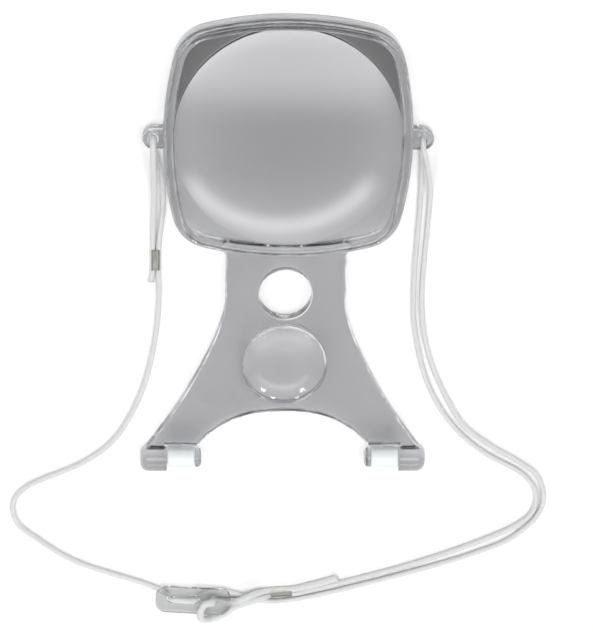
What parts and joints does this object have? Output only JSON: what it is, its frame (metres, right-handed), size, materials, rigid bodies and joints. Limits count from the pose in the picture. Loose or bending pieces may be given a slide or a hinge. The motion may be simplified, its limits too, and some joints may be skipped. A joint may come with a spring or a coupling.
{
  "type": "hands-free magnifier",
  "caption": "Clear acrylic magnifier with a bowed square lens, a strong spot lens in a flared foot plate, sleeved feet and a laced neck cord, hung at the chest to leave both hands free.",
  "frame": {"origin": "centre of the moulding's bounding box in plan, at the plane of the back on which it lies", "axes": "+Z is the way the lenses face, +Y points from the feet to the top of the lens frame, +X to the right as seen from the front"},
  "size_m": [0.249, 0.2979, 0.0163],
  "materials": {
    "acrylic_moulding": "clear acrylic, moulded gloss",
    "acrylic_lens": "optically clear acrylic, polished",
    "acrylic_tab": "clear acrylic, lightly scuffed",
    "soft_sleeve": "soft milky vinyl tube, satin",
    "plated_clip": "folded plated steel strip, dull",
    "braided_cord": "round braided white nylon"
  },
  "bodies": {
    "magnifier": {"body_moulding": "acrylic_moulding", "main_lens": "acrylic_lens", "spot_lens": "acrylic_lens", "foot_cap_left": "acrylic_moulding", "foot_cap_right": "acrylic_moulding", "cord_adjuster": "acrylic_tab", "cord_clip_left": "plated_clip", "cord_clip_right": "plated_clip", "cord_left_eye": "braided_cord", "cord_tail_left": "braided_cord", "cord_left_lead": "braided_cord", "cord_right_outer": "braided_cord", "cord_right_inner": "braided_cord", "cord_end_loop": "braided_cord", "cord_tail_right": "braided_cord"},
    "left_sleeve": {"foot_sleeve_left": "soft_sleeve"},
    "right_sleeve": {"foot_sleeve_right": "soft_sleeve"}
  },
  "joints": [
    {"name": "left_sleeve_spin", "type": "hinge", "parent": "magnifier", "child": "left_sleeve", "pos_m": [-0.0468, -0.10235, 0.0064], "axis": [1, 0, 0], "continuous": true},
    {"name": "right_sleeve_spin", "type": "hinge", "parent": "magnifier", "child": "right_sleeve", "pos_m": [0.0468, -0.10235, 0.0064], "axis": [1, 0, 0], "continuous": true}
  ]
}
